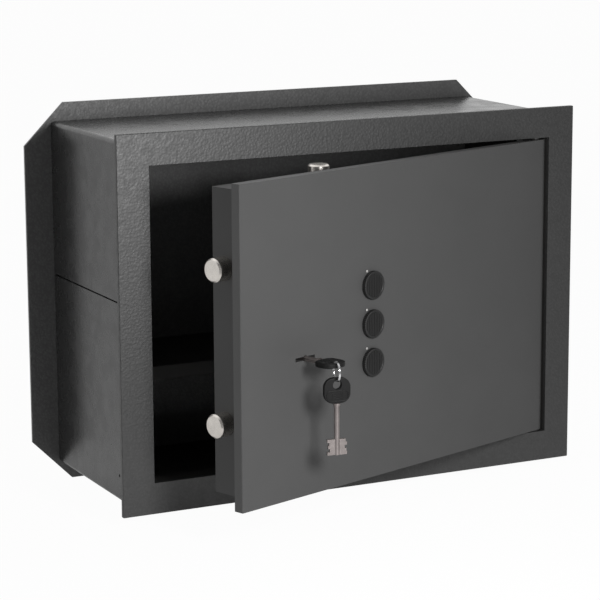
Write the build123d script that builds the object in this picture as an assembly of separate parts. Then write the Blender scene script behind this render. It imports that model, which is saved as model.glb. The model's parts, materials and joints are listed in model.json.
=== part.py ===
from build123d import *
import math
import os

# Built-in wall safe, millimetres. X runs along the front, Y goes back into the wall, Z is up.
# The origin is the middle of the back plate's rear face, and the front plate's face is at y = -depth.
# The door and everything on it is laid out shut and is then swung open by door_rest_angle.

# Shared small sizes
edge_chamfer = 0.6
past = 1.0
tiny = 0.01

# Body
plate_w = 490.0
plate_h = 360.0
plate_t = 4.0
plate_corner_r = 1.0
opening_shift = 2.0
depth = 195.0
sheet = 3.0
body_w = 472.0
body_h = 344.0
body_bend_r = 4.0
flange_w = 527.0
flange_h = 380.0
flange_cut = 41.0
joint_z = 20.0
joint_gap = 1.5
strip_h = 24.0
anchor_dx = 300.0
anchor_dz = 180.0
anchor_hole_d = 12.0
side_hole_d = 3.0
side_hole_y = 30.0
side_hole_z = -147.0
frame_t = 10.0
frame_depth = 18.0
frame_gap_x = 6.0
frame_gap_z = 9.0

# Shelf on two rails
shelf_z = -55.0
shelf_t = 2.0
shelf_lip = 13.0
shelf_front = 70.0
shelf_clear = 1.0
rail_leg = 15.0
rail_t = 1.5

# Door leaf, its inner box and its hinge
door_gap = 2.0
hinge_gap = 1.0
door_t = 10.0
hinge_r = 9.0
stile_w = 18.0
door_rest_angle = 19.0
pin_d = 8.0
pin_in_door = 18.0
pin_in_frame = 7.0
running_clear = 0.05
washer_d = 16.0
washer_clear = 0.05
box_left_inset = 14.5
box_top_inset = 8.0
box_depth = 50.0
box_sheet = 1.5
lug = 12.0
lug_len = 16.0
cover_screw_d = 4.0
cover_screw_gap = 4.0
screw_head_h = 2.2

# Bolts
throw = 15.0
side_bolt_d = 22.0
top_bolt_d = 20.0
bolt_depth = 36.5
bolt_clear = 0.1
bolt_tip_inset = 0.5
bolt_tip_chamfer = 1.5
side_bolt_len = 70.0
bolt_lap = 23.0
side_bolt_z = (67.5, -74.5)
top_bolt_inset = 136.5
top_bolt_rise = 1.0
top_bolt_len = 65.0
top_lap = 34.0
guide_len = 14.0
guide_wall = 4.0
rivet_d = 5.0
rivet_pitch = 12.0
rivet_inset = 5.0
rivet_in_bolt = 7.0
rivet_head_h = 1.2

# Bolt bar
bar_front = 31.5
bar_t = 3.0
bar_clear = 3.0
spine_w = 22.0
spine_low = -88.0
arm_half = 56.0
arm_wall = 5.4
top_arm_w = 34.0
top_arm_gap = 26.0
top_arm_wall = 10.4
cam_pin_d = 6.0
cam_pin_rise = 11.0
cam_clear = 0.1
stud_d = 8.0
stud_clear = 0.1
stud_shoulder_d = 12.0
stud_end = 3.0
clip_t = 1.2
clip_rim = 1.0
stud_insets = (85.0, 119.0)
stud_rise = 17.0
stud_low_z = -46.0
window_r = 4.0
window_insets = (107.0, 145.0)
window_z = (18.0, 46.0)

# Lock
key_inset = 80.5
key_z = -19.3
keyhole_w = 25.0
case_w = 60.0
case_h = 46.0
case_t = 19.5
case_corner_r = 4.0
case_screw_inset = 7.0
barrel_d = 24.0
barrel_front_clear = 0.3
barrel_end_clear = 0.2
retainer_t = 1.5
retainer_d = 36.0
retainer_clear = 0.4
pinion_teeth = 12
pressure_angle = math.radians(20.0)
addendum_share = 0.65
root_clear = 0.25
backlash = 0.24
window_clear = 0.8
rack_lap = 0.5
case_screw_d = 4.0
case_screw_in_door = 5.0

# Keys, each with its tip down and the hole of its head at the origin
head_w = 25.0
head_len = 23.5
head_t = 4.5
head_corner_r = 9.0
head_edge_r = 0.8
head_hole_r = 4.2
head_hole_edge = 6.5
shank_d = 5.0
shank_len = 33.0
collar_w = 0.8
collar_len = 2.0
bit_len = 14.5
bit_t = 2.6
bit_left = (9.2, 7.5, 8.5, 6.9, 9.2)
bit_right = (7.9, 9.2, 7.1, 8.7, 9.2)
tang_w = 10.0
tang_len = 12.0
key_clear = 0.4
bit_gap = 3.5
ring_r = 9.0
ring_wire_r = 1.0
ring_reach = 6.3
ring_drop = 5.2
ring_yaw = 28.0
hang_clear = 0.15

# Combination dials
dial_inset = 169.0
dial_z = -0.5
dial_pitch = 36.5
dial_d = 27.0
dial_h = 4.0
dial_gap = 0.3
dial_edge_r = 1.2
dial_ribs = 24
rib_d = 1.2
rib_depth = 0.36
pointer_w = 1.0
pointer_cut = 0.5
pointer_start = 6.0
spindle_d = 6.0
bush_d = 10.0
bush_inset = 0.2
bush_stand = 4.0
disc_r = 13.0
disc_flat = 11.8
disc_t = 4.0
disc_gap = 1.5
tooth_w = 4.5
tooth_h = 5.0
tooth_clear = 0.3
nut_af = 10.0
nut_t = 3.0
bracket_gap = 0.5
bracket_w = 18.0
bracket_t = 2.5
bracket_half = 72.0
foot = 12.0
foot_screw_d = 4.0
slot_side = 0.6
index_r = 1.1
index_h = 0.3
index_reach = 15.4
index_angle = 26.0

# What follows from the sizes above
front = -depth
plate_back = front + plate_t
opening_w = body_w - 2 * (sheet + frame_gap_x + frame_t + opening_shift)
opening_h = body_h - 2 * (sheet + frame_gap_z + frame_t)
opening_left = opening_shift - opening_w / 2
opening_right = opening_shift + opening_w / 2
door_left = opening_left + door_gap
door_right = opening_right - hinge_gap
door_half = opening_h / 2 - door_gap
hinge_x = door_right - hinge_r
hinge_y = front + hinge_r
leaf_back = front + door_t
box_left = door_left + box_left_inset
box_right = hinge_x - stile_w
box_half = door_half - box_top_inset
box_back = front + box_depth
cover_front = box_back - box_sheet
bolt_y = front + bolt_depth
key_x = door_left + key_inset
dial_x = door_left + dial_inset
top_bolt_x = door_left + top_bolt_inset
arm_right = dial_x + throw + spindle_d / 2 + slot_side + arm_wall
top_arm_right = top_bolt_x + throw + cam_pin_d / 2 + cam_clear + top_arm_wall
top_arm_high = box_half - top_arm_gap
top_arm_low = top_arm_high - top_arm_w
cam_pin_z = top_arm_low + cam_pin_rise
stud_spots = ((door_left + stud_insets[0], top_arm_low + stud_rise), (door_left + stud_insets[1], stud_low_z))
window_x = [door_left + inset for inset in window_insets]
bar_back = front + bar_front + bar_t
pinion_r = throw / math.pi
module = 2 * pinion_r / pinion_teeth
guide_end = box_left + box_sheet + guide_len
case_back = leaf_back + case_t
disc_front = bar_back + disc_gap
bracket_front = disc_front + disc_t + nut_t + bracket_gap
bracket_back = bracket_front + bracket_t
key_out = head_len - head_hole_edge + shank_len - door_t - bit_gap


def block(x0, x1, y0, y1, z0, z1):
    return Pos((x0 + x1) / 2, (y0 + y1) / 2, (z0 + z1) / 2) * Box(x1 - x0, y1 - y0, z1 - z0)


def rod_x(y, z, r, x0, x1):
    return Pos((x0 + x1) / 2, y, z) * Rot(0, 90, 0) * Cylinder(r, x1 - x0)


def rod_y(x, z, r, y0, y1):
    return Pos(x, (y0 + y1) / 2, z) * Rot(90, 0, 0) * Cylinder(r, y1 - y0)


def rod_z(x, y, r, z0, z1):
    return Pos(x, y, (z0 + z1) / 2) * Cylinder(r, z1 - z0)


def slab(shape, y_front, y_back):
    return extrude(Plane.XZ.offset(-y_back) * shape, amount=y_back - y_front)


def capsule(x0, z0, x1, z1, r):
    run = math.hypot(x1 - x0, z1 - z0)
    turn = math.degrees(math.atan2(z1 - z0, x1 - x0))
    return Pos((x0 + x1) / 2, (z0 + z1) / 2) * Rot(0, 0, turn) * SlotOverall(run + 2 * r, 2 * r)


def rectangle(x0, x1, z0, z1):
    return Pos((x0 + x1) / 2, (z0 + z1) / 2) * Rectangle(x1 - x0, z1 - z0)


# Body

def front_plate():
    face = RectangleRounded(plate_w, plate_h, plate_corner_r)
    face -= Pos(opening_shift, 0) * Rectangle(opening_w, opening_h)
    plate = slab(face, front, plate_back)
    rim = plate.edges().group_by(Axis.Y)[0]
    x_edge = plate_w / 2 - plate_corner_r
    z_edge = plate_h / 2 - plate_corner_r
    outer = [e for e in rim if abs(e.center().X) > x_edge or abs(e.center().Z) > z_edge]
    return chamfer(outer, edge_chamfer)


def door_frame():
    ring = Pos(opening_shift, 0) * Rectangle(opening_w + 2 * frame_t, opening_h + 2 * frame_t)
    ring -= Pos(opening_shift, 0) * Rectangle(opening_w, opening_h)
    frame = slab(ring, plate_back, plate_back + frame_depth)
    reach = opening_h / 2 + frame_t
    frame -= rod_z(hinge_x, hinge_y, pin_d / 2 + running_clear, -reach, reach)
    return frame


def shell_ring():
    ring = RectangleRounded(body_w, body_h, body_bend_r)
    return ring - RectangleRounded(body_w - 2 * sheet, body_h - 2 * sheet, body_bend_r - sheet)


def upper_shell():
    keep = rectangle(-body_w, body_w, joint_z + joint_gap / 2, body_h)
    return slab(shell_ring() & keep, plate_back, -sheet)


def lower_shell():
    keep = rectangle(-body_w, body_w, -body_h, joint_z - joint_gap / 2)
    shell = slab(shell_ring() & keep, plate_back, -sheet)
    left = -body_w / 2
    return shell - rod_x(front + side_hole_y, side_hole_z, side_hole_d / 2, left - past, left + sheet + past)


def joint_strips():
    inner = body_w / 2 - sheet
    low = joint_z - strip_h / 2
    strips = []
    for side in (-1, 1):
        wall = sorted((side * inner, side * (inner - sheet)))
        strips.append(block(*wall, plate_back + frame_depth, -sheet, low, low + strip_h))
    return Compound(strips)


def back_plate():
    w = flange_w / 2
    h = flange_h / 2
    c = flange_cut
    corner = [(w - c, -h), (w, -h + c), (w, h - c), (w - c, h)]
    outline = corner + [(-x, z) for x, z in reversed(corner)]
    face = make_face(Polyline(*outline, close=True))
    for x in (-anchor_dx / 2, anchor_dx / 2):
        for z in (-anchor_dz / 2, anchor_dz / 2):
            face -= Pos(x, z) * Circle(anchor_hole_d / 2)
    return slab(face, -sheet, 0)


def shelf():
    half = body_w / 2 - sheet - shelf_clear
    y0 = front + shelf_front
    top = block(-half, half, y0, -sheet - shelf_clear, shelf_z - shelf_t, shelf_z)
    lip = block(-half, half, y0, y0 + shelf_t, shelf_z - shelf_lip, shelf_z)
    folded = top + lip
    bend = folded.edges().filter_by(Axis.X).filter_by(lambda e: e.center().Y < y0 + tiny)
    return fillet(bend.group_by(Axis.Z)[-1], shelf_t / 2)


def shelf_rails():
    inner = body_w / 2 - sheet
    top = shelf_z - shelf_t
    y0 = front + shelf_front + shelf_t + shelf_clear
    rails = []
    for side in (-1, 1):
        wall = sorted((side * inner, side * (inner - rail_t)))
        leg = sorted((side * inner, side * (inner - rail_leg)))
        rail = block(*wall, y0, -sheet, top - rail_leg, top) + block(*leg, y0, -sheet, top - rail_t, top)
        rails.append(rail)
    return Compound(rails)


def hinge_washer():
    z0 = -opening_h / 2
    ring = rod_z(hinge_x, hinge_y, washer_d / 2, z0, z0 + door_gap - washer_clear)
    return ring - rod_z(hinge_x, hinge_y, pin_d / 2 + running_clear, z0 - past, z0 + door_gap + past)


# Door leaf

def keyway(width):
    return Rectangle(width, bit_t + 2 * key_clear) + Circle(shank_d / 2 + key_clear)


def dial_heights():
    return [dial_z + dial_pitch * step for step in (1, 0, -1)]


def cover_screw_spots():
    x0 = box_left + box_sheet + lug / 2
    x1 = box_right - box_sheet - lug / 2
    z1 = box_half - box_sheet - lug / 2
    return [(x, z) for x in (x0, x1) for z in (-z1, z1)]


def case_screw_spots():
    dx = case_w / 2 - case_screw_inset
    dz = case_h / 2 - case_screw_inset
    return [(key_x + sx * dx, key_z + sz * dz) for sx in (-1, 1) for sz in (-1, 1)]


def foot_spots():
    reach = bracket_half + foot / 2
    return [(dial_x, dial_z - reach), (dial_x, dial_z + reach)]


def door_plate():
    profile = Pos((door_left + hinge_x) / 2, (front + leaf_back) / 2) * Rectangle(hinge_x - door_left, door_t)
    profile += Pos(hinge_x, hinge_y) * Circle(hinge_r)
    profile += Pos(hinge_x - stile_w / 2, (front + hinge_y + hinge_r) / 2) * Rectangle(stile_w, 2 * hinge_r)
    leaf = Pos(0, 0, -door_half) * extrude(profile, amount=2 * door_half)
    edge = leaf.edges().filter_by(Axis.Z).filter_by(lambda e: e.center().Y < front + tiny)
    leaf = chamfer(edge.group_by(Axis.X)[0], edge_chamfer)
    leaf -= slab(Pos(key_x, key_z) * keyway(keyhole_w), front - past, leaf_back + past)
    for z in dial_heights():
        leaf -= rod_y(dial_x, z, bush_d / 2, front - past, leaf_back + past)
    for x, z in case_screw_spots():
        leaf -= rod_y(x, z, case_screw_d / 2, leaf_back - case_screw_in_door, leaf_back + past)
    for x, z in foot_spots():
        leaf -= rod_y(x, z, foot_screw_d / 2, leaf_back - case_screw_in_door, leaf_back + past)
    for x, z in stud_spots:
        leaf -= rod_y(x, z, stud_d / 2, leaf_back - case_screw_in_door, leaf_back + past)
    for side in (-1, 1):
        ends = sorted((side * (door_half + past), side * (door_half - pin_in_door)))
        leaf -= rod_z(hinge_x, hinge_y, pin_d / 2, *ends)
    return leaf


def hinge_pins():
    pins = []
    for side in (-1, 1):
        ends = sorted((side * (opening_h / 2 + pin_in_frame), side * (door_half - pin_in_door)))
        pins.append(rod_z(hinge_x, hinge_y, pin_d / 2, *ends))
    return Compound(pins)


def door_box():
    s = box_sheet
    outer = rectangle(box_left, box_right, -box_half, box_half)
    inner = rectangle(box_left + s, box_right - s, -box_half + s, box_half - s)
    walls = slab(outer - inner, leaf_back, cover_front)
    for x, z in cover_screw_spots():
        h = lug / 2
        walls += block(x - h, x + h, cover_front - lug_len, cover_front, z - h, z + h)
        walls -= rod_y(x, z, cover_screw_d / 2, cover_front - lug_len, cover_front + past)
    for z in side_bolt_z:
        walls -= rod_x(bolt_y, z, side_bolt_d / 2 + bolt_clear, box_left - past, box_left + s + past)
    top_r = top_bolt_d / 2 + bolt_clear
    return walls - rod_z(top_bolt_x, bolt_y, top_r, box_half - s - past, box_half + past)


def box_cover():
    sheet_face = rectangle(box_left, box_right, -box_half, box_half)
    for x, z in cover_screw_spots():
        sheet_face -= Pos(x, z) * Circle(cover_screw_d / 2)
    return slab(sheet_face, cover_front, box_back)


def cover_screws():
    screws = []
    for x, z in cover_screw_spots():
        shank = rod_y(x, z, cover_screw_d / 2, cover_front - lug_len + cover_screw_gap, box_back)
        head = rod_y(x, z, cover_screw_d, box_back, box_back + screw_head_h)
        rim = head.edges().group_by(Axis.Y)[-1]
        screws.append(shank + fillet(rim, screw_head_h / 2))
    return Compound(screws)


def bolt_guides():
    x0 = box_left + box_sheet
    r = side_bolt_d / 2
    guides = []
    for z in side_bolt_z:
        body = block(x0, guide_end, leaf_back, cover_front, z - r - guide_wall, z + r + guide_wall)
        guides.append(body - rod_x(bolt_y, z, r + bolt_clear, x0 - past, guide_end + past))
    return Compound(guides)


def top_bolt_guide():
    r = top_bolt_d / 2
    z1 = box_half - box_sheet
    z0 = z1 - guide_len
    body = block(top_bolt_x - r - guide_wall, top_bolt_x + r + guide_wall, leaf_back, cover_front, z0, z1)
    return body - rod_z(top_bolt_x, bolt_y, r + bolt_clear, z0 - past, z1 + past)


def guide_studs():
    studs = []
    for x, z in stud_spots:
        stud = rod_y(x, z, stud_d / 2, leaf_back - case_screw_in_door, bar_back + stud_end)
        shoulder = rod_y(x, z, stud_shoulder_d / 2, leaf_back, front + bar_front - stud_clear)
        studs.append(stud + shoulder)
    return Compound(studs)


def stud_clips():
    clips = []
    for x, z in stud_spots:
        y0 = bar_back + stud_clear
        ring = rod_y(x, z, stud_shoulder_d / 2 + clip_rim, y0, y0 + clip_t)
        clips.append(ring - rod_y(x, z, stud_d / 2, y0 - past, y0 + clip_t + past))
    return Compound(clips)


def index_marks():
    dx = -index_reach * math.sin(math.radians(index_angle))
    dz = index_reach * math.cos(math.radians(index_angle))
    return Compound([rod_y(dial_x + dx, z + dz, index_r, front - index_h, front) for z in dial_heights()])


# Lock

def countersunk(x, z, d, y_head, y_tip):
    cone = Pos(x, y_head - d / 4, z) * Rot(90, 0, 0) * Cone(d, d / 2, d / 2)
    return cone + rod_y(x, z, d / 2, y_tip, y_head)


def case_screws():
    tip = leaf_back - case_screw_in_door
    return Compound([countersunk(x, z, case_screw_d, case_back, tip) for x, z in case_screw_spots()])


def lock_case():
    face = Pos(key_x, key_z) * RectangleRounded(case_w, case_h, case_corner_r)
    case = slab(face, leaf_back, case_back)
    case -= rod_y(key_x, key_z, barrel_d / 2 + running_clear, leaf_back - past, case_back + past)
    for x, z in case_screw_spots():
        case -= countersunk(x, z, case_screw_d, case_back, leaf_back - case_screw_in_door)
    return case


def lock_retainer():
    ring = rod_y(key_x, key_z, retainer_d / 2, case_back, case_back + retainer_t)
    inner = pinion_r + addendum_share * module + retainer_clear
    return ring - rod_y(key_x, key_z, inner, case_back - past, case_back + retainer_t + past)


def flank_angle(radius):
    base = pinion_r * math.cos(pressure_angle)
    tooth = math.pi * module / 2 - backlash / 2
    at_pitch = tooth / 2 / pinion_r + math.tan(pressure_angle) - pressure_angle
    turn = math.acos(min(1.0, base / radius))
    return at_pitch - (math.tan(turn) - turn)


def pinion_outline():
    base = pinion_r * math.cos(pressure_angle)
    tip = pinion_r + addendum_share * module
    root = pinion_r - addendum_share * module - root_clear
    radii = [base + (tip - base) * step / 4 for step in range(5)]
    points = []
    for tooth in range(pinion_teeth):
        middle = math.pi / 2 + tooth * 2 * math.pi / pinion_teeth
        flank = [(root, flank_angle(base))] + [(r, flank_angle(r)) for r in radii]
        right = [(r, middle - a) for r, a in flank]
        left = [(r, middle + a) for r, a in reversed(flank)]
        points += [(r * math.cos(a), r * math.sin(a)) for r, a in right + left]
    return points


def lock_barrel():
    y0 = leaf_back + barrel_front_clear
    y1 = case_back - barrel_end_clear
    body = rod_y(key_x, key_z, barrel_d / 2, y0, y1)
    slot = Pos(key_x, key_z) * keyway(2 * (max(bit_left + bit_right) + key_clear))
    body -= slab(slot, y0 - past, leaf_back + bit_gap + bit_len + key_clear)
    gear_front = front + bar_front - barrel_end_clear
    neck = rod_y(key_x, key_z, pinion_r - addendum_share * module - root_clear, y1, gear_front)
    gear_face = make_face(Polyline(*pinion_outline(), close=True))
    gear = slab(Pos(key_x, key_z) * gear_face, gear_front, bar_back + barrel_end_clear)
    return body + neck + gear


# Bolt bar with its rack, its cam slot and the fence teeth

def rack_teeth():
    pitch = math.pi * module
    line = key_z + pinion_r
    tip = line - addendum_share * module
    root = line + addendum_share * module + root_clear
    lean = math.tan(pressure_angle)
    half = (pitch / 2 - backlash / 2) / 2
    count = round(throw / pitch) + 3
    teeth = []
    for step in range(-2, count - 1):
        x = key_x + (step + 0.5) * pitch
        low = half - (line - tip) * lean
        high = half + (root - line) * lean
        outline = [(x - low, tip), (x + low, tip), (x + high, root), (x + high, root + rack_lap),
                   (x - high, root + rack_lap), (x - high, root)]
        teeth.append(make_face(Polyline(*outline, close=True)))
    return teeth


def pinion_window():
    reach = pinion_r + addendum_share * module + root_clear
    side = reach + window_clear
    return rectangle(key_x - side, key_x + throw + side, key_z - side, key_z + reach)


def bolt_bar():
    left = bar_left()
    face = rectangle(left, left + spine_w, spine_low, top_arm_high)
    face += rectangle(left, arm_right, dial_z - arm_half, dial_z + arm_half)
    face += rectangle(left, top_arm_right, top_arm_low, top_arm_high)
    face -= pinion_window()
    for tooth in rack_teeth():
        face += tooth
    for z in dial_heights():
        face -= capsule(dial_x, z, dial_x + throw, z, spindle_d / 2 + slot_side)
    for x, z in stud_spots:
        face -= capsule(x, z, x + throw, z, stud_d / 2 + stud_clear)
    face -= capsule(top_bolt_x, cam_pin_z, top_bolt_x + throw, cam_pin_z + throw, cam_pin_d / 2 + cam_clear)
    window = RectangleRounded(window_x[1] - window_x[0], window_z[1] - window_z[0], window_r)
    face -= Pos(sum(window_x) / 2, sum(window_z) / 2) * window
    for x, z in rivet_spots():
        face -= Pos(x, z) * Circle(rivet_d / 2)
    bar = slab(face, front + bar_front, bar_back)
    for z in dial_heights():
        x = dial_x + throw / 2
        z0 = z + disc_flat + tooth_clear
        bar += block(x - tooth_w / 2, x + tooth_w / 2, bar_back, disc_front + disc_t, z0, z0 + tooth_h)
    return bar


def bar_left():
    return guide_end + throw + bar_clear


def rivet_spots():
    x0 = bar_left() + rivet_inset
    return [(x0 + step * rivet_pitch, z) for z in side_bolt_z for step in (0, 1)]


def bolt_rivets():
    rivets = []
    for x, z in rivet_spots():
        shank = rod_y(x, z, rivet_d / 2, front + bar_front, bar_back + rivet_in_bolt)
        head = rod_y(x, z, rivet_d * 0.9, front + bar_front - rivet_head_h, front + bar_front)
        rivets.append(shank + head)
    return Compound(rivets)


def side_bolt(z):
    tip = door_left + bolt_tip_inset
    end = tip + side_bolt_len
    r = side_bolt_d / 2
    bolt = rod_x(bolt_y, z, r, tip, end)
    bolt = chamfer(bolt.edges().group_by(Axis.X)[0], bolt_tip_chamfer)
    side = r + past
    bolt -= block(end - bolt_lap, end + past, bolt_y - side, bar_back, z - side, z + side)
    for x, hole_z in rivet_spots():
        if hole_z == z:
            bolt -= rod_y(x, z, rivet_d / 2, bar_back - past, bar_back + rivet_in_bolt)
    return bolt


def top_bolt():
    tip = door_half + top_bolt_rise
    end = tip - top_bolt_len
    r = top_bolt_d / 2
    bolt = rod_z(top_bolt_x, bolt_y, r, end, tip)
    bolt = chamfer(bolt.edges().group_by(Axis.Z)[-1], bolt_tip_chamfer)
    flat = bar_back + slot_side
    side = r + past
    bolt -= block(top_bolt_x - side, top_bolt_x + side, bolt_y - side, flat, end - past, end + top_lap)
    bolt -= rod_y(top_bolt_x, cam_pin_z, cam_pin_d / 2, flat - past, flat + rivet_in_bolt)
    return bolt


def cam_pin():
    y0 = front + bar_front - slot_side
    return rod_y(top_bolt_x, cam_pin_z, cam_pin_d / 2, y0, bar_back + slot_side + rivet_in_bolt)


# Combination dials, spindles and discs

def dial(z):
    y0 = front - dial_gap - dial_h
    knob = rod_y(dial_x, z, dial_d / 2, y0, front - dial_gap)
    knob = fillet(knob.edges().group_by(Axis.Y)[0], dial_edge_r)
    for step in range(dial_ribs):
        a = 2 * math.pi * step / dial_ribs
        r = dial_d / 2 + rib_d / 2 - rib_depth
        knob -= rod_y(dial_x + r * math.cos(a), z + r * math.sin(a), rib_d / 2, y0 - past, front)
    half = pointer_w / 2
    knob -= block(dial_x - half, dial_x + half, y0 - past, y0 + pointer_cut, z + pointer_start, z + dial_d)
    return knob - rod_y(dial_x, z, spindle_d / 2, y0 + dial_h / 2, front)


def spindle(z):
    return rod_y(dial_x, z, spindle_d / 2, front - dial_gap - dial_h / 2, bracket_back)


def spindle_bushes():
    bushes = []
    for z in dial_heights():
        bush = rod_y(dial_x, z, bush_d / 2, front + bush_inset, leaf_back + bush_stand)
        bore = rod_y(dial_x, z, spindle_d / 2 + running_clear, front - past, leaf_back + bush_stand + past)
        bushes.append(bush - bore)
    return Compound(bushes)


def disc(z):
    face = Circle(disc_r) - rectangle(-disc_r, disc_r, disc_flat, disc_r + past) - Circle(spindle_d / 2)
    return slab(Pos(dial_x, z) * face, disc_front, disc_front + disc_t)


def disc_nut(z):
    face = RegularPolygon(nut_af / math.sqrt(3), 6) - Circle(spindle_d / 2)
    return slab(Pos(dial_x, z) * face, disc_front + disc_t, disc_front + disc_t + nut_t)


def combination_bracket():
    w = bracket_w / 2
    low = dial_z - bracket_half
    bracket = block(dial_x - w, dial_x + w, bracket_front, bracket_back, low, low + 2 * bracket_half)
    for side in (-1, 1):
        leg = sorted((dial_z + side * bracket_half, dial_z + side * (bracket_half - bracket_t)))
        toe = sorted((dial_z + side * bracket_half, dial_z + side * (bracket_half + foot)))
        bracket += block(dial_x - w, dial_x + w, leaf_back, bracket_back, *leg)
        bracket += block(dial_x - w, dial_x + w, leaf_back, leaf_back + bracket_t, *toe)
    for z in dial_heights():
        bracket -= rod_y(dial_x, z, spindle_d / 2 + running_clear, bracket_front - past, bracket_back + past)
    for x, z in foot_spots():
        bracket -= rod_y(x, z, foot_screw_d / 2, leaf_back - past, leaf_back + bracket_t + past)
    return bracket


def bracket_screws():
    screws = []
    for x, z in foot_spots():
        top = leaf_back + bracket_t
        shank = rod_y(x, z, foot_screw_d / 2, leaf_back - case_screw_in_door, top)
        screws.append(shank + rod_y(x, z, foot_screw_d, top, top + screw_head_h))
    return Compound(screws)


# Keys and their ring

def bit_side(widths, sign):
    top = -(head_len - head_hole_edge) - shank_len
    step = bit_len / len(widths)
    points = [(0, top)]
    for i, width in enumerate(widths):
        points += [(sign * width, top - i * step), (sign * width, top - (i + 1) * step)]
    points.append((0, top - bit_len))
    return make_face(Polyline(*points, close=True))


def key_blade():
    neck = -(head_len - head_hole_edge)
    tip = neck - shank_len - bit_len
    blade = rod_z(0, 0, shank_d / 2, tip, neck)
    both_sides = bit_side(bit_left, -1) + bit_side(bit_right, 1)
    bits = extrude(Plane.XZ.offset(-bit_t / 2) * both_sides, amount=bit_t)
    tang = block(-tang_w / 2, tang_w / 2, -bit_t / 2, bit_t / 2, neck, neck + tang_len)
    collar = rod_z(0, 0, shank_d / 2 + collar_w, neck - collar_len, neck)
    return blade + bits + tang + collar


def key_head():
    middle = head_hole_edge - head_len / 2
    face = Pos(0, middle) * RectangleRounded(head_w, head_len, head_corner_r) - Circle(head_hole_r)
    head = extrude(Plane.XZ.offset(-head_t / 2) * face, amount=head_t)
    faces = [f for f in head.faces() if abs(abs(f.center().Y) - head_t / 2) < tiny]
    head = fillet([e for f in faces for e in f.outer_wire().edges()], head_edge_r)
    return head - key_blade()


def key_ring():
    ring = Rot(90, 0, 0) * Torus(ring_r, ring_wire_r)
    return Rot(0, 0, -90) * ring


def exports():
    swing = Pos(hinge_x, hinge_y, 0) * Rot(0, 0, door_rest_angle) * Pos(-hinge_x, -hinge_y, 0)
    key_spot = Pos(key_x, front - key_out, key_z)
    first = swing * key_spot * Rot(90, 0, 0)
    ring_turn = Rot(0, 0, -ring_yaw)
    ring_spot = swing * key_spot * ring_turn * Pos(0, -ring_reach, -ring_drop)
    inner = ring_r - ring_wire_r
    hang = math.sqrt(inner ** 2 - (head_t / 2) ** 2) - hang_clear + head_hole_r
    second = ring_spot * Pos(0, 0, -hang)

    parts = {
        "front_plate": front_plate(),
        "door_frame": door_frame(),
        "upper_shell": upper_shell(),
        "lower_shell": lower_shell(),
        "joint_strips": joint_strips(),
        "back_plate": back_plate(),
        "shelf": shelf(),
        "shelf_rails": shelf_rails(),
        "hinge_washer": hinge_washer(),
        "door_plate": swing * door_plate(),
        "hinge_pins": swing * hinge_pins(),
        "door_box": swing * door_box(),
        "box_cover": swing * box_cover(),
        "cover_screws": swing * cover_screws(),
        "bolt_guides": swing * bolt_guides(),
        "top_bolt_guide": swing * top_bolt_guide(),
        "guide_studs": swing * guide_studs(),
        "stud_clips": swing * stud_clips(),
        "index_marks": swing * index_marks(),
        "lock_case": swing * lock_case(),
        "case_screws": swing * case_screws(),
        "lock_retainer": swing * lock_retainer(),
        "lock_barrel": swing * lock_barrel(),
        "bolt_bar": swing * bolt_bar(),
        "bolt_rivets": swing * bolt_rivets(),
        "upper_bolt": swing * side_bolt(side_bolt_z[0]),
        "lower_bolt": swing * side_bolt(side_bolt_z[1]),
        "top_bolt": swing * top_bolt(),
        "cam_pin": swing * cam_pin(),
        "spindle_bushes": swing * spindle_bushes(),
        "combination_bracket": swing * combination_bracket(),
        "bracket_screws": swing * bracket_screws(),
        "key_1_blade": first * key_blade(),
        "key_1_head": first * key_head(),
        "key_ring": ring_spot * key_ring(),
        "key_2_blade": second * key_blade(),
        "key_2_head": second * key_head(),
    }
    for name, z in zip(("upper", "middle", "lower"), dial_heights()):
        parts[name + "_dial"] = swing * dial(z)
        parts[name + "_spindle"] = swing * spindle(z)
        parts[name + "_disc"] = swing * disc(z)
        parts[name + "_disc_nut"] = swing * disc_nut(z)
    return parts


os.makedirs("parts", exist_ok=True)
for name, part in exports().items():
    export_step(part, "parts/" + name + ".step")
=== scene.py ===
import json
import math
import bmesh
import bpy
from mathutils import Matrix, Vector


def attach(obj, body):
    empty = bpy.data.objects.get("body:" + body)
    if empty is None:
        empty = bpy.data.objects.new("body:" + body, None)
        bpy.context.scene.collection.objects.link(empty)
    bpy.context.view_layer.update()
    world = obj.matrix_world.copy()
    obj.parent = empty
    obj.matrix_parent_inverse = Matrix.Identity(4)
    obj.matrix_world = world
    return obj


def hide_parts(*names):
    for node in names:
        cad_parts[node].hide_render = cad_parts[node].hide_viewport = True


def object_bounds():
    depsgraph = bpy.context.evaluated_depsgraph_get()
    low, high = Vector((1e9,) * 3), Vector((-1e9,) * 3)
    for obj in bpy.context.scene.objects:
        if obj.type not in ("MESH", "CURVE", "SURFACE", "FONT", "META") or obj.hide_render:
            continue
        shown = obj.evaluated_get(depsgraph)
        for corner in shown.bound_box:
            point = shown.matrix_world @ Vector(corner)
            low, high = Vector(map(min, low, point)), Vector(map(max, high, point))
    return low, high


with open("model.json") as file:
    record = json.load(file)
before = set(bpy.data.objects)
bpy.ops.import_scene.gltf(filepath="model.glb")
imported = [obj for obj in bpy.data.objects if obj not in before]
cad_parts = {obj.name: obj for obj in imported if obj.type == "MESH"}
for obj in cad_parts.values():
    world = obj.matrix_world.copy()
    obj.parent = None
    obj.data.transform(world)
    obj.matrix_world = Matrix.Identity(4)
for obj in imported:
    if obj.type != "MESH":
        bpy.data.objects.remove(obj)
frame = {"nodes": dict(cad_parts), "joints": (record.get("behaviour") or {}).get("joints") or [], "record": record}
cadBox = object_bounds()
mm = 0.001
up = Vector((0, 0, 1))
joints = {joint["name"]: joint for joint in frame["joints"]}
print("frame loaded:", len(frame["nodes"]), "nodes")


# Shader maths: a Wire is one socket, and an expression on wires adds the Math nodes

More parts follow.
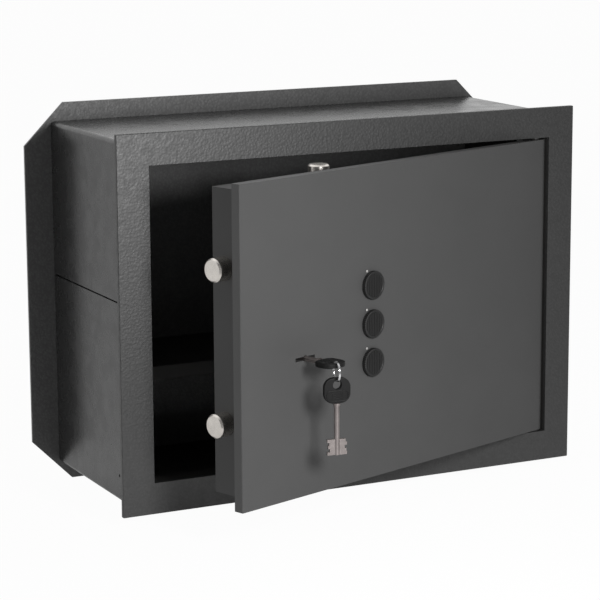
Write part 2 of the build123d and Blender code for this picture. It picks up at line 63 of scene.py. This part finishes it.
class Wire:
    def __init__(self, finish, socket):
        self.finish = finish
        self.socket = socket

    def calc(self, operation, *values):
        return self.finish.node("ShaderNodeMath", {"operation": operation}, dict(enumerate(values)))

    def __add__(self, other):
        return self.calc("ADD", self, other)

    def __sub__(self, other):
        return self.calc("SUBTRACT", self, other)

    def __rsub__(self, other):
        return self.calc("SUBTRACT", other, self)

    def __mul__(self, other):
        return self.calc("MULTIPLY", self, other)

    def __lt__(self, other):
        return self.calc("LESS_THAN", self, other)

    def __abs__(self):
        return self.calc("ABSOLUTE", self)

    __radd__ = __add__
    __rmul__ = __mul__


class Network:
    def __init__(self, tree):
        self.tree = tree
        self.place = None

    def node(self, kind, settings=None, values=None, out=0):
        new = self.tree.nodes.new(kind)
        for key, value in (settings or {}).items():
            setattr(new, key, value)
        for key, value in (values or {}).items():
            if isinstance(value, Wire):
                self.tree.links.new(value.socket, new.inputs[key])
            else:
                new.inputs[key].default_value = value
        return Wire(self, new.outputs[out])

    def noise(self, size, detail=2.0, rough=0.5, place=None):
        values = {"Vector": place or self.place, "Scale": 1 / size, "Detail": detail, "Roughness": rough}
        return self.node("ShaderNodeTexNoise", None, values, "Fac")

    def dimples(self, size, rounding, place=None):
        values = {"Vector": place or self.place, "Scale": 1 / size, "Smoothness": rounding}
        return self.node("ShaderNodeTexVoronoi", {"feature": "SMOOTH_F1"}, values)

    def axis(self, letter, place=None):
        return self.node("ShaderNodeSeparateXYZ", None, {"Vector": place or self.place}, letter)

    def ramp(self, value, low, high):
        values = {"Value": value, "From Min": low, "From Max": high}
        return self.node("ShaderNodeMapRange", {"clamp": True}, values)

    def stretch(self, noise):
        # Most of a noise lies between these two values
        return self.ramp(noise, 0.3, 0.7)

    def mix(self, amount, first, second):
        values = {"Factor": amount, 6: first, 7: second}
        return self.node("ShaderNodeMix", {"data_type": "RGBA"}, values, 2)

    def bump(self, height, distance):
        return self.node("ShaderNodeBump", None, {"Height": height, "Distance": distance, "Strength": 1.0})


class Finish(Network):
    def __init__(self, name, **constants):
        self.material = bpy.data.materials.new(name)
        self.material.use_nodes = True
        super().__init__(self.material.node_tree)
        self.shader = self.tree.nodes["Principled BSDF"]
        self.place = self.node("ShaderNodeTexCoord", out="Object")
        for key, value in constants.items():
            self.set(key.replace("_", " "), value)

    def set(self, key, value):
        if isinstance(value, Wire):
            self.tree.links.new(value.socket, self.shader.inputs[key])
        else:
            self.shader.inputs[key].default_value = value


def shade(level, warm=0.0):
    return (level * (1 + warm), level, level * (1 - warm), 1)


# Hammered enamel of the front plate and the rear flange, with dimples a few millimetres wide

hammeredLook = {
    # The rear flange's tone is the front plate's paint made lighter, painted light on the flange
    "plateTone": 0.028, "flangeLitTone": 0.10, "pale": 1.18, "dark": 0.82, "gloss": 1.0,
    "dimple": 2.5 * mm, "depth": 0.16 * mm, "rounding": 0.6,
    "wanderSize": 2.0, "wander": 0.8, "fineSize": 0.4, "cloudSize": 2.2,  # in dimples
    "fineShare": 0.35, "spotShare": 0.6, "cloudShare": 0.8,
    "spotRange": (0.15, 0.65), "blendRange": (0.35, 1.0),
    "rough": 0.45, "roughSpread": 0.12,
}


def platePaint(name, tone):
    look = hammeredLook
    finish = Finish(name, Specular_IOR_Level=look["gloss"])
    size = look["dimple"]
    coarse = {"Vector": finish.place, "Scale": 1 / (size * look["wanderSize"])}
    drift = finish.node("ShaderNodeTexNoise", None, coarse, "Color")
    wander = finish.node("ShaderNodeVectorMath", {"operation": "SCALE"},
                         {0: drift, "Scale": size * look["wander"]})
    place = finish.node("ShaderNodeVectorMath", {"operation": "ADD"}, {0: finish.place, 1: wander})
    cells = finish.dimples(size, look["rounding"], place)
    fine = finish.noise(size * look["fineSize"], detail=3.0)
    cloud = finish.noise(size * look["cloudSize"], detail=3.0, rough=0.6)
    spots = finish.ramp(cells, *look["spotRange"])
    blend = finish.ramp(spots * look["spotShare"] + cloud * look["cloudShare"], *look["blendRange"])
    finish.set("Base Color", finish.mix(blend, shade(tone * look["pale"]), shade(tone * look["dark"])))
    finish.set("Roughness", look["rough"] + finish.stretch(cloud) * look["roughSpread"])
    finish.set("Normal", finish.bump(cells + fine * look["fineShare"], look["depth"]))
    return finish.material


# Dark colour of the body's inside, painted shade for its dim interior

insideShadeLook = {
    "tone": 0.024, "pale": 1.5, "dark": 0.8, "rough": 0.50, "roughSpread": 0.1,
    "cloud": 30 * mm, "grain": 1.5 * mm, "depth": 0.02 * mm,
}


def insideShadePaint():
    look = insideShadeLook
    finish = Finish("insideShadePaint")
    cloud = finish.noise(look["cloud"], detail=4.0, rough=0.6)
    tone = look["tone"]
    finish.set("Base Color", finish.mix(cloud, shade(tone * look["pale"], 0.05), shade(tone * look["dark"])))
    finish.set("Roughness", look["rough"] + cloud * look["roughSpread"])
    finish.set("Normal", finish.bump(finish.noise(look["grain"]), look["depth"]))
    return finish.material


# Smoother enamel of the half shells. The same sheet is darker on its inner side, where the colour is painted
# shade.

shellLook = {
    "tone": 0.042, "pale": 1.1, "dark": 0.88, "gloss": 0.5,
    "dimple": 4.0 * mm, "depth": 0.035 * mm, "rounding": 0.8, "cloud": 18 * mm, "fine": 2 * mm,
    "cellShare": 0.3, "fineShare": 0.3, "blendRange": (0.3, 0.95),
    "rough": 0.22, "roughSpread": 0.1, "innerDull": 0.25,
    "innerX": 234.5 * mm, "innerZ": 170.5 * mm, "innerBack": 1.5 * mm,
}


def shellPaint():
    look = shellLook
    finish = Finish("shellPaint", Specular_IOR_Level=look["gloss"])
    x = abs(finish.axis("X"))
    y = finish.axis("Y")
    z = abs(finish.axis("Z"))
    # Inside the body the colour turns dark: painted shade for the dim interior
    shadedInside = (x < look["innerX"]) * (z < look["innerZ"]) * (y < -look["innerBack"])
    cells = finish.dimples(look["dimple"], look["rounding"])
    cloud = finish.noise(look["cloud"], detail=4.0, rough=0.55)
    blend = finish.ramp(cloud + cells * look["cellShare"], *look["blendRange"])
    tone = look["tone"]
    outer = finish.mix(blend, shade(tone * look["pale"]), shade(tone * look["dark"]))
    finish.set("Base Color", finish.mix(shadedInside, outer, shade(insideShadeLook["tone"], 0.04)))
    dull = finish.stretch(cloud) * look["roughSpread"]
    finish.set("Roughness", look["rough"] + dull + shadedInside * look["innerDull"])
    finish.set("Normal", finish.bump(cells + finish.noise(look["fine"]) * look["fineShare"], look["depth"]))
    return finish.material


# Satin coats: tone, grain size, grain depth and roughness of each, then what they share

satinLook = {
    "doorPaint": (0.068, 0.9 * mm, 0.015 * mm, 0.40),
    "boxPaint": (0.042, 1.2 * mm, 0.02 * mm, 0.36),
    "cloud": 60 * mm, "cloudShare": 0.8, "grainShare": 0.2, "pale": 1.05, "dark": 0.95,
    "roughSpread": 0.05, "grainDull": 0.04,
}


def satinPaint(name):
    look = satinLook
    tone, grain, depth, rough = look[name]
    finish = Finish(name)
    cloud = finish.noise(look["cloud"], detail=3.0)
    fine = finish.noise(grain)
    blend = finish.stretch(cloud * look["cloudShare"] + fine * look["grainShare"])
    finish.set("Base Color", finish.mix(blend, shade(tone * look["pale"]), shade(tone * look["dark"])))
    finish.set("Roughness", rough + finish.stretch(cloud) * look["roughSpread"] + fine * look["grainDull"])
    finish.set("Normal", finish.bump(fine, depth))
    return finish.material


# Metals: colour, roughness, grain size, grain depth and stain of each, then what they share

metalLook = {
    "nickelPlate": ((0.81, 0.77, 0.72), 0.24, 0.6 * mm, 0.008 * mm, 0.08),
    "brightWire": ((0.86, 0.86, 0.87), 0.12, 0.5 * mm, 0.002 * mm, 0.05),
    "zincPlate": ((0.62, 0.62, 0.58), 0.36, 1.0 * mm, 0.01 * mm, 0.12),
    "groundSteel": ((0.20, 0.20, 0.20), 0.45, 0.5 * mm, 0.004 * mm, 0.12),
    "turnedBrass": ((0.74, 0.56, 0.27), 0.28, 0.5 * mm, 0.004 * mm, 0.12),
    "castCase": ((0.52, 0.52, 0.50), 0.52, 1.2 * mm, 0.03 * mm, 0.12),
    "keySteel": ((0.38, 0.34, 0.33), 0.34, 0.8 * mm, 0.01 * mm, 0.15),
    "stainGrains": 12, "stainRange": (0.35, 0.8),
}


def metal(name):
    look = metalLook
    colour, rough, grain, depth, stain = look[name]
    finish = Finish(name, Metallic=1.0)
    cloud = finish.noise(grain * look["stainGrains"], detail=3.0, rough=0.6)
    fine = finish.noise(grain)
    bright = (*colour, 1)
    dull = (*[c * (1 - 2 * stain) for c in colour], 1)
    finish.set("Base Color", finish.mix(finish.ramp(cloud, *look["stainRange"]), bright, dull))
    finish.set("Roughness", rough + fine * stain)
    finish.set("Normal", finish.bump(fine, depth))
    return finish.material


# Black mouldings, and the white of the marks

plasticLook = {
    "dialTone": 0.009, "dialGloss": 0.5, "keyTone": 0.0054, "keyGloss": 0.25,
    "fresh": 0.8, "worn": 1.3, "wear": 4 * mm, "rough": 0.46, "roughSpread": 0.12,
    "grain": 0.5 * mm, "depth": 0.012 * mm,
}


def blackPlastic(name, tone, gloss):
    look = plasticLook
    finish = Finish(name, Specular_IOR_Level=gloss)
    wear = finish.noise(look["wear"], detail=3.0)
    finish.set("Base Color", finish.mix(wear, shade(tone * look["fresh"]), shade(tone * look["worn"])))
    finish.set("Roughness", look["rough"] + wear * look["roughSpread"])
    finish.set("Normal", finish.bump(finish.noise(look["grain"]), look["depth"]))
    return finish.material


markLook = {"pale": 0.55, "dull": 0.40, "speckle": 0.6 * mm, "rough": 0.35}


def markEnamel():
    look = markLook
    finish = Finish("markEnamel", Roughness=look["rough"])
    speckle = finish.noise(look["speckle"])
    finish.set("Base Color", finish.mix(speckle, shade(look["pale"], 0.02), shade(look["dull"], 0.03)))
    return finish.material


finishes = {
    "front_paint": platePaint("hammeredPlatePaint", hammeredLook["plateTone"]),
    "shell_paint": shellPaint(),
    "inside_paint": insideShadePaint(),
    "door_paint": satinPaint("doorPaint"),
    "box_paint": satinPaint("boxPaint"),
    "nickel": metal("nickelPlate"),
    "bright_wire": metal("brightWire"),
    "zinc": metal("zincPlate"),
    "steel": metal("groundSteel"),
    "brass": metal("turnedBrass"),
    "cast_case": metal("castCase"),
    "dial_plastic": blackPlastic("dialPlastic", plasticLook["dialTone"], plasticLook["dialGloss"]),
    "key_plastic": blackPlastic("keyPlastic", plasticLook["keyTone"], plasticLook["keyGloss"]),
    "mark_white": markEnamel(),
}
# The keys are of duller plate than the bolts, and the rear flange is hammered as the front plate is; its lighter
# tone is painted light on the same paint
special = {
    "key_1_blade": metal("keySteel"),
    "back_plate": platePaint("hammeredFlangeLitPaint", hammeredLook["flangeLitTone"]),
}
special["key_2_blade"] = special["key_1_blade"]
special["hinge_pins"] = finishes["inside_paint"]
for part in frame["record"]["subparts"]:
    node = frame["nodes"][part["node"]]
    node.data.materials.clear()
    node.data.materials.append(special.get(part["node"], finishes[part["material_slot"]]))
print("finishes set:", len(finishes))


# Helpers for meshes and for Geometry Nodes

def axesAt(origin, x, y, z):
    turned = Matrix((x, y, z)).transposed().to_4x4()
    return Matrix.Translation(origin) @ turned


def meshObject(name, mesh, finish=None):
    piece = bpy.data.objects.new(name, mesh)
    bpy.context.scene.collection.objects.link(piece)
    if finish:
        mesh.materials.clear()
        mesh.materials.append(finishes[finish])
    return piece


def smooth(mesh, angle=35):
    for face in mesh.polygons:
        face.use_smooth = True
    mesh.set_sharp_from_angle(angle=math.radians(angle))


def lathe(profile, steps, ripple=None):
    # profile is (radius, height) from the lower middle round to the upper middle, about local Z
    shape = bmesh.new()
    rings = []
    for radius, height in profile:
        if radius == 0:
            rings.append([shape.verts.new((0, 0, height))])
            continue
        ring = []
        for step in range(steps):
            turn = 2 * math.pi * step / steps
            r = radius - (ripple(step, radius) if ripple else 0)
            ring.append(shape.verts.new((r * math.cos(turn), r * math.sin(turn), height)))
        rings.append(ring)
    for low, high in zip(rings, rings[1:]):
        for step in range(steps):
            after = (step + 1) % steps
            corners = [low[step % len(low)], low[after % len(low)],
                       high[after % len(high)], high[step % len(high)]]
            shape.faces.new(list(dict.fromkeys(corners)))
    bmesh.ops.recalc_face_normals(shape, faces=shape.faces)
    mesh = bpy.data.meshes.new("turned")
    shape.to_mesh(mesh)
    shape.free()
    return mesh


class Tree:
    # A Geometry Nodes tree with named inputs, which ends in Realize Instances and Set Material
    def __init__(self, name, **inputs):
        self.group = bpy.data.node_groups.new(name, "GeometryNodeTree")
        face = self.group.interface
        face.new_socket("Geometry", in_out="OUTPUT", socket_type="NodeSocketGeometry")
        self.sockets = {}
        for key, value in inputs.items():
            kind = {int: "NodeSocketInt", float: "NodeSocketFloat", Vector: "NodeSocketVector"}[type(value)]
            self.sockets[key] = face.new_socket(key, in_out="INPUT", socket_type=kind)
        self.start = self.group.nodes.new("NodeGroupInput")
        self.end = self.group.nodes.new("NodeGroupOutput")
        self.values = inputs

    def node(self, kind, settings=None, values=None, out=0):
        new = self.group.nodes.new(kind)
        for key, value in (settings or {}).items():
            setattr(new, key, value)
        for key, value in (values or {}).items():
            if isinstance(value, bpy.types.NodeSocket):
                self.group.links.new(value, new.inputs[key])
            else:
                new.inputs[key].default_value = value
        return new.outputs[out]

    def take(self, key):
        return self.start.outputs[key]

    def calc(self, operation, first, second=0.0):
        return self.node("ShaderNodeMath", {"operation": operation}, {0: first, 1: second})

    def build(self, name, geometry, finish, bevel=None):
        real = self.node("GeometryNodeRealizeInstances", None, {0: geometry})
        done = self.node("GeometryNodeSetMaterial", None, {"Geometry": real, "Material": finishes[finish]})
        self.group.links.new(done, self.end.inputs[0])
        carrier = meshObject(name + "Carrier", bpy.data.meshes.new(name))
        grow = carrier.modifiers.new("grow", "NODES")
        grow.node_group = self.group
        for key, socket in self.sockets.items():
            grow[socket.identifier] = self.values[key]
        if bevel:
            edge = carrier.modifiers.new("edge", "BEVEL")
            edge.width = bevel
            edge.segments = 2
            edge.harden_normals = False
        seen = carrier.evaluated_get(bpy.context.evaluated_depsgraph_get())
        mesh = bpy.data.meshes.new_from_object(seen)
        bpy.data.objects.remove(carrier)
        return mesh


def join(name, meshes, place, finish):
    # One piece from several meshes in one local frame, put in its place with the object at the origin
    shape = bmesh.new()
    for mesh in meshes:
        shape.from_mesh(mesh)
    shape.transform(place)
    whole = bpy.data.meshes.new(name)
    shape.to_mesh(whole)
    shape.free()
    piece = meshObject(name, whole, finish)
    smooth(whole)
    return piece


# The door's own directions: out of its face, along it to the hinge, and up

doorOut = Vector(joints["key_turn"]["axis"]).normalized()
doorSide = up.cross(doorOut).normalized()


# Combination dials: a knurled rim, a sunk face and upright ribs across it

dialLook = {
    "radius": 13.5 * mm, "gap": 0.3 * mm, "height": 4.0 * mm, "edge": 0.9 * mm,
    "teeth": 48, "toothSteps": 4, "toothDepth": 0.45 * mm, "rim": 2.0 * mm, "sink": 0.5 * mm,
    "ribs": 9, "ribPitch": 2.3 * mm, "ribWidth": 1.0 * mm, "ribHeight": 0.45 * mm, "ribEdge": 0.15 * mm,
}


def dialBody():
    look = dialLook
    base, top = look["gap"], look["gap"] + look["height"]
    r, edge, well = look["radius"], look["edge"], look["radius"] - look["rim"]
    bend = [(r - edge + edge * math.cos(a), top - edge + edge * math.sin(a))
            for a in (math.radians(turn) for turn in (0, 30, 60, 90))]
    profile = [(0, base), (r, base), *bend, (well, top), (well - look["sink"], top - look["sink"]),
               (0, top - look["sink"])]

    def tooth(step, radius):
        # A groove over the first half of each tooth's steps, on the rim alone
        groove = radius > well and step % look["toothSteps"] < look["toothSteps"] / 2
        return look["toothDepth"] if groove else 0

    return lathe(profile, look["teeth"] * look["toothSteps"], tooth)


def dialRibs():
    look = dialLook
    well = look["radius"] - look["rim"] - look["sink"]
    tree = Tree("dialRibs", count=look["ribs"], pitch=look["ribPitch"], width=look["ribWidth"],
                height=look["ribHeight"], reach=well)
    half = tree.calc("MULTIPLY", tree.calc("SUBTRACT", tree.take("count"), 1.0), 0.5)
    first = tree.calc("MULTIPLY", tree.calc("MULTIPLY", half, tree.take("pitch")), -1.0)
    start = tree.node("ShaderNodeCombineXYZ", None, {"X": first})
    step = tree.node("ShaderNodeCombineXYZ", None, {"X": tree.take("pitch")})
    line = tree.node("GeometryNodeMeshLine", None, {"Count": tree.take("count"), "Start Location": start,
                                                    "Offset": step})
    x = tree.node("ShaderNodeSeparateXYZ", None, {0: tree.node("GeometryNodeInputPosition")}, "X")
    edge = tree.calc("ADD", tree.node("ShaderNodeMath", {"operation": "ABSOLUTE"}, {0: x}),
                     tree.calc("MULTIPLY", tree.take("width"), 0.5))
    chord = tree.calc("SUBTRACT", tree.calc("POWER", tree.take("reach"), 2.0), tree.calc("POWER", edge, 2.0))
    length = tree.calc("MULTIPLY", tree.node("ShaderNodeMath", {"operation": "SQRT"}, {0: chord}), 2.0)
    size = tree.node("ShaderNodeCombineXYZ", None, {"X": tree.take("width"), "Y": length,
                                                    "Z": tree.calc("MULTIPLY", tree.take("height"), 2.0)})
    bar = tree.node("GeometryNodeMeshCube", None, {"Size": (1, 1, 1)})
    bars = tree.node("GeometryNodeInstanceOnPoints", None, {"Points": line, "Instance": bar, "Scale": size})
    floor = look["gap"] + look["height"] - look["sink"]
    lifted = tree.node("GeometryNodeTransform", None, {"Geometry": bars, "Translation": (0, 0, floor)})
    return tree.build("dialRibs", lifted, "dial_plastic", look["ribEdge"])


body, ribs = dialBody(), dialRibs()
for level in ("upper", "middle", "lower"):
    centre = Vector(joints[level + "_dial_turn"]["pos_m"])
    dial = join(level + "RibbedDial", [body, ribs], axesAt(centre, doorSide, up, doorOut), "dial_plastic")
    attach(dial, level + "_combination")
    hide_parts(level + "_dial")
print("dials made")


# Split ring: two turns of round wire side by side, with a short crossing between them

ringLook = {
    "radius": 9.0 * mm, "wire": 0.49 * mm, "crossing": 0.12, "closing": 0.985, "steps": 160, "sides": 10,
    "smoothAngle": 50,
}


def splitRing():
    look = ringLook
    low = Vector(joints["key_2_swing"]["pos_m"])
    along = Vector(joints["key_2_swing"]["axis"]).normalized()
    centre = low + up * look["radius"]
    across = along.cross(up)
    shape = bmesh.new()
    rings = []
    total = 2 * look["steps"]
    for step in range(total + 1):
        share = step / total * 2
        turn = 2 * math.pi * share * look["closing"] + math.pi / 2
        ease = min(1, max(0, (share - 1) / look["crossing"] + 0.5))
        offset = (ease * ease * (3 - 2 * ease) * 2 - 1) * look["wire"]
        outward = along * math.cos(turn) + up * math.sin(turn)
        middle = centre + outward * look["radius"] + across * offset
        ring = []
        for side in range(look["sides"]):
            angle = 2 * math.pi * side / look["sides"]
            spot = middle + (outward * math.cos(angle) + across * math.sin(angle)) * look["wire"]
            ring.append(shape.verts.new(spot))
        rings.append(ring)
    for first, second in zip(rings, rings[1:]):
        for side in range(look["sides"]):
            after = (side + 1) % look["sides"]
            shape.faces.new((first[side], first[after], second[after], second[side]))
    shape.faces.new(rings[0])
    shape.faces.new(rings[-1])
    bmesh.ops.recalc_face_normals(shape, faces=shape.faces)
    mesh = bpy.data.meshes.new("splitRing")
    shape.to_mesh(mesh)
    shape.free()
    smooth(mesh, look["smoothAngle"])
    return meshObject("splitRing", mesh, "bright_wire")


ring = splitRing()
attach(ring, "key_ring")
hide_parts("key_ring")
print("ring made")


# Key heads: a raised rim and grip ribs moulded on both faces, below the hole

headLook = {
    "width": 20.2 * mm, "length": 9.4 * mm, "thickness": 4.5 * mm, "drop": 10.0 * mm,
    "corner": 4.4 * mm, "cornerSteps": 8, "bead": 0.42 * mm, "beadSides": 8,
    "ribs": 4, "ribPitch": 1.7 * mm, "ribLength": 10.0 * mm, "ribWidth": 0.8 * mm, "ribDrop": 7.5 * mm,
    "ribEdge": 0.2 * mm, "hang": 11.73 * mm,
}


def headRim():
    look = headLook
    tree = Tree("headRim", width=look["width"], length=look["length"], corner=look["corner"],
                bead=look["bead"])
    outline = tree.node("GeometryNodeCurvePrimitiveQuadrilateral", None, {"Width": tree.take("width"),
                                                                          "Height": tree.take("length")})
    rounded = tree.node("GeometryNodeFilletCurve", {"mode": "POLY"},
                        {"Curve": outline, "Count": look["cornerSteps"], "Radius": tree.take("corner")})
    section = tree.node("GeometryNodeCurvePrimitiveCircle", None, {"Resolution": look["beadSides"],
                                                                   "Radius": tree.take("bead")})
    bead = tree.node("GeometryNodeCurveToMesh", None, {"Curve": rounded, "Profile Curve": section})
    return tree.build("headRim", bead, "key_plastic")


def headRibs():
    look = headLook
    tree = Tree("headRibs", count=look["ribs"], pitch=look["ribPitch"], length=look["ribLength"],
                width=look["ribWidth"])
    step = tree.node("ShaderNodeCombineXYZ", None, {"Y": tree.calc("MULTIPLY", tree.take("pitch"), -1.0)})
    line = tree.node("GeometryNodeMeshLine", None, {"Count": tree.take("count"), "Offset": step})
    size = tree.node("ShaderNodeCombineXYZ", None, {"X": tree.take("length"), "Y": tree.take("width"),
                                                    "Z": tree.take("width")})
    bar = tree.node("GeometryNodeMeshCube", None, {"Size": (1, 1, 1)})
    bars = tree.node("GeometryNodeInstanceOnPoints", None, {"Points": line, "Instance": bar, "Scale": size})
    return tree.build("headRibs", bars, "key_plastic", look["ribEdge"])


def headRelief(name, place):
    look = headLook
    rim, bars = headRim(), headRibs()
    rim.transform(Matrix.Translation((0, -look["drop"], 0)))
    bars.transform(Matrix.Translation((0, -look["ribDrop"], 0)))
    faces = []
    for side in (1, -1):
        for mesh in (rim, bars):
            copy = mesh.copy()
            copy.transform(Matrix.Translation((0, 0, side * look["thickness"] / 2)))
            faces.append(copy)
    return join(name, faces, place, "key_plastic")


def keyPlaces():
    # Each place has its hole at the origin, the blade towards local -Y and the flat faces across local Z
    first = axesAt(Vector(joints["ring_swivel"]["pos_m"]), -doorSide, doorOut, up)
    along = Vector(joints["key_2_swing"]["axis"]).normalized()
    centre = Vector(joints["key_2_swing"]["pos_m"]) + up * ringLook["radius"]
    second = axesAt(centre - up * headLook["hang"], up.cross(along), up, along)
    return {"key_1": first, "key_2": second}


for key, place in keyPlaces().items():
    relief = headRelief(key + "HeadRelief", place)
    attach(relief, key)
print("keys dressed")


# Cover screws: button heads with a hexagon socket, on the same spots as the solid ones

screwLook = {
    "radius": 4.0 * mm, "height": 2.2 * mm, "socket": 1.5 * mm, "deep": 1.3 * mm, "segments": 24,
    "skirt": 0.45, "crown": 0.55,  # shares of the height
}


def islands(node):
    # The points of each separate solid of a node
    shape = bmesh.new()
    shape.from_mesh(frame["nodes"][node].data)
    bmesh.ops.remove_doubles(shape, verts=shape.verts, dist=1e-6)
    left = set(shape.verts)
    found = []
    # In the order of the mesh, so that the screws come out alike on every run
    for first in shape.verts:
        if first not in left:
            continue
        left.remove(first)
        stack = [first]
        group = []
        while stack:
            vert = stack.pop()
            group.append(vert.co.copy())
            for edge in vert.link_edges:
                other = edge.other_vert(vert)
                if other in left:
                    left.remove(other)
                    stack.append(other)
        found.append(group)
    shape.free()
    return found


def screwHead():
    look = screwLook
    r, h = look["radius"], look["height"]
    dome = [(r * math.cos(a), h * (look["skirt"] + look["crown"] * math.sin(a)))
            for a in (math.radians(turn) for turn in (0, 20, 40, 60))]
    flat = dome[-1][1]
    profile = [(0, 0), (r, 0), *dome, (look["socket"], flat), (look["socket"], flat - look["deep"]),
               (0, flat - look["deep"])]

    def hexagon(step, radius):
        if radius > look["socket"]:
            return 0
        angle = (2 * math.pi * step / look["segments"]) % (math.pi / 3) - math.pi / 6
        return radius * (1 - math.cos(math.pi / 6) / math.cos(angle))

    return lathe(profile, look["segments"], hexagon)


def coverScrews():
    inward = -doorOut
    heads = []
    for group in islands("cover_screws"):
        deepest = max(point.dot(inward) for point in group)
        middle = sum(group, Vector()) / len(group)
        seat = middle + inward * (deepest - screwLook["height"] - middle.dot(inward))
        head = screwHead()
        head.transform(axesAt(seat, -doorSide, up, inward))
        heads.append(head)
    return join("socketScrews", heads, Matrix.Identity(4), "zinc")


screws = coverScrews()
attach(screws, "door")
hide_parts("cover_screws")
print("screws made")


# Floor, lamp and camera

studioLook = {
    "floorSize": 40.0, "paper": 0.88, "floorGlow": 0.97, "floorSheen": 0.60,
    "white": 1.0, "ambient": 0.25, "front": 0.14, "floorFade": (-0.5, 0.0), "skyFade": (-0.5, 0.1),
    "lampAt": (-0.10, -0.92, 0.215), "lampAim": (0, -0.15, 0), "lampSize": 0.18, "lampPower": 4.4,
}


def floorStage():
    look = studioLook
    half = look["floorSize"] / 2
    low = cadBox[0].z
    mesh = bpy.data.meshes.new("studioFloor")
    mesh.from_pydata([(-half, -half, low), (half, -half, low), (half, half, low), (-half, half, low)], [],
                     [(0, 1, 2, 3)])
    floor = bpy.data.objects.new("studioFloor", mesh)
    bpy.context.scene.collection.objects.link(floor)
    paper = Finish("studioPaper", Roughness=1.0, Specular_IOR_Level=0.0)
    paper.set("Base Color", shade(look["paper"]))
    glow = paper.node("ShaderNodeEmission", None, {"Color": shade(look["white"]), "Strength": 1.0})
    # White to the camera, and behind the object in its gloss too
    seen = paper.node("ShaderNodeLightPath", out="Is Camera Ray") * look["floorGlow"]
    behind = paper.ramp(paper.axis("Y"), *look["floorFade"]) * look["floorSheen"]
    gloss = paper.node("ShaderNodeLightPath", out="Is Glossy Ray") * behind
    both = paper.node("ShaderNodeMixShader", None, {0: seen + gloss,
                                                    1: Wire(paper, paper.shader.outputs[0]), 2: glow})
    paper.tree.links.new(both.socket, paper.tree.nodes["Material Output"].inputs["Surface"])
    mesh.materials.append(paper.material)


def worldLight():
    look = studioLook
    world = bpy.data.worlds.new("studioWorld")
    bpy.context.scene.world = world
    world.use_nodes = True
    tree = world.node_tree
    back = tree.nodes["Background"]
    back.inputs["Color"].default_value = shade(1.0)
    # White behind the object, for the camera and in its gloss; the studio in front of it is dimmer
    sky = Network(tree)
    seen, glossy, through = (sky.node("ShaderNodeLightPath", out="Is %s Ray" % kind)
                             for kind in ("Camera", "Glossy", "Transmission"))
    direction = sky.node("ShaderNodeTexCoord", out="Generated")
    behind = sky.ramp(sky.axis("Y", direction), *look["skyFade"])
    sheen = behind * (look["white"] - look["front"]) + look["front"]
    clear = seen.calc("MAXIMUM", seen, through)
    dimmer = glossy * sheen + (1 - glossy) * look["ambient"]
    strength = clear * look["white"] + (1 - clear) * dimmer
    tree.links.new(strength.socket, back.inputs["Strength"])


def softbox(name, at, size, power, target):
    lamp = bpy.data.lights.new(name, "AREA")
    lamp.shape = "DISK"
    lamp.size = size
    lamp.energy = power
    holder = bpy.data.objects.new(name, lamp)
    bpy.context.scene.collection.objects.link(holder)
    holder.location = at
    holder.rotation_euler = (target - Vector(at)).to_track_quat("-Z", "Y").to_euler()


cameraLook = {
    "place": (-1.02812, -2.14661, 0.43980), "yaw": 26.387, "pitch": 11.136, "roll": -0.307,
    "lens": 139.9, "sensor": 36, "farthest": 50,
}


def photoCamera():
    look = cameraLook
    yaw, pitch, roll = (math.radians(look[key]) for key in ("yaw", "pitch", "roll"))
    ahead = Vector((math.sin(yaw) * math.cos(pitch), math.cos(yaw) * math.cos(pitch), -math.sin(pitch)))
    right = Vector((math.cos(yaw), -math.sin(yaw), 0))
    above = right.cross(ahead)
    x = right * math.cos(roll) + above * math.sin(roll)
    y = above * math.cos(roll) - right * math.sin(roll)
    data = bpy.data.cameras.new("photoCamera")
    data.lens = look["lens"]
    data.sensor_width = look["sensor"]
    data.clip_end = look["farthest"]
    camera = bpy.data.objects.new("photoCamera", data)
    bpy.context.scene.collection.objects.link(camera)
    camera.matrix_world = axesAt(Vector(look["place"]), x, y, -ahead)
    bpy.context.scene.camera = camera


floorStage()
worldLight()
softbox("frontLamp", studioLook["lampAt"], studioLook["lampSize"], studioLook["lampPower"],
        Vector(studioLook["lampAim"]))
photoCamera()
bpy.context.scene.view_settings.view_transform = "Standard"
print("studio ready")
